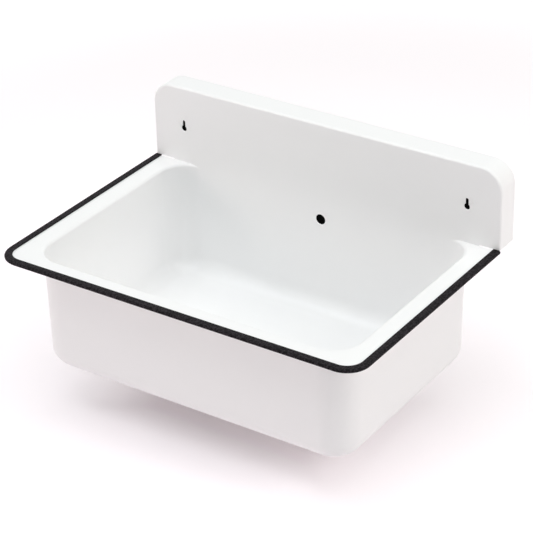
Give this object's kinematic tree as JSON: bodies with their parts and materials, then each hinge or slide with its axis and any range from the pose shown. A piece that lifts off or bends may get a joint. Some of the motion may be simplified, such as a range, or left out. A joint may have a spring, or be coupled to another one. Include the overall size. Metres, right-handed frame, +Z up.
{
  "type": "bucket sink",
  "caption": "Wall-hung bucket sink: deep-drawn white enamelled bowl, folded splashback with keyholes, black edge guard round the rim and a strainer waste in the floor.",
  "frame": {"origin": "midway between the two keyholes' round parts, on the front face of the splashback", "axes": "+X to the right as seen by the user, +Y to the wall, +Z up"},
  "size_m": [0.51, 0.362, 0.3269],
  "materials": {
    "enamel": "white vitreous enamel, glossy",
    "guard_rubber": "black extruded profile, matte with fine grain",
    "spring_steel": "sprung strip, dull",
    "stainless_sheet": "pressed sheet, satin",
    "seal_rubber": "flat moulded ring, matte",
    "moulded_plastic": "white moulding, satin",
    "turned_stainless": "turned, satin",
    "nut_brass": "turned, plain"
  },
  "bodies": {
    "root": {"bowl": "enamel", "splashback": "enamel", "edge_guard": "guard_rubber", "guard_core": "spring_steel", "strainer": "stainless_sheet", "strainer_seal": "seal_rubber", "outlet_seal": "seal_rubber", "outlet_body": "moulded_plastic", "clamp_screw": "turned_stainless", "clamp_nut": "nut_brass"}
  },
  "joints": []
}
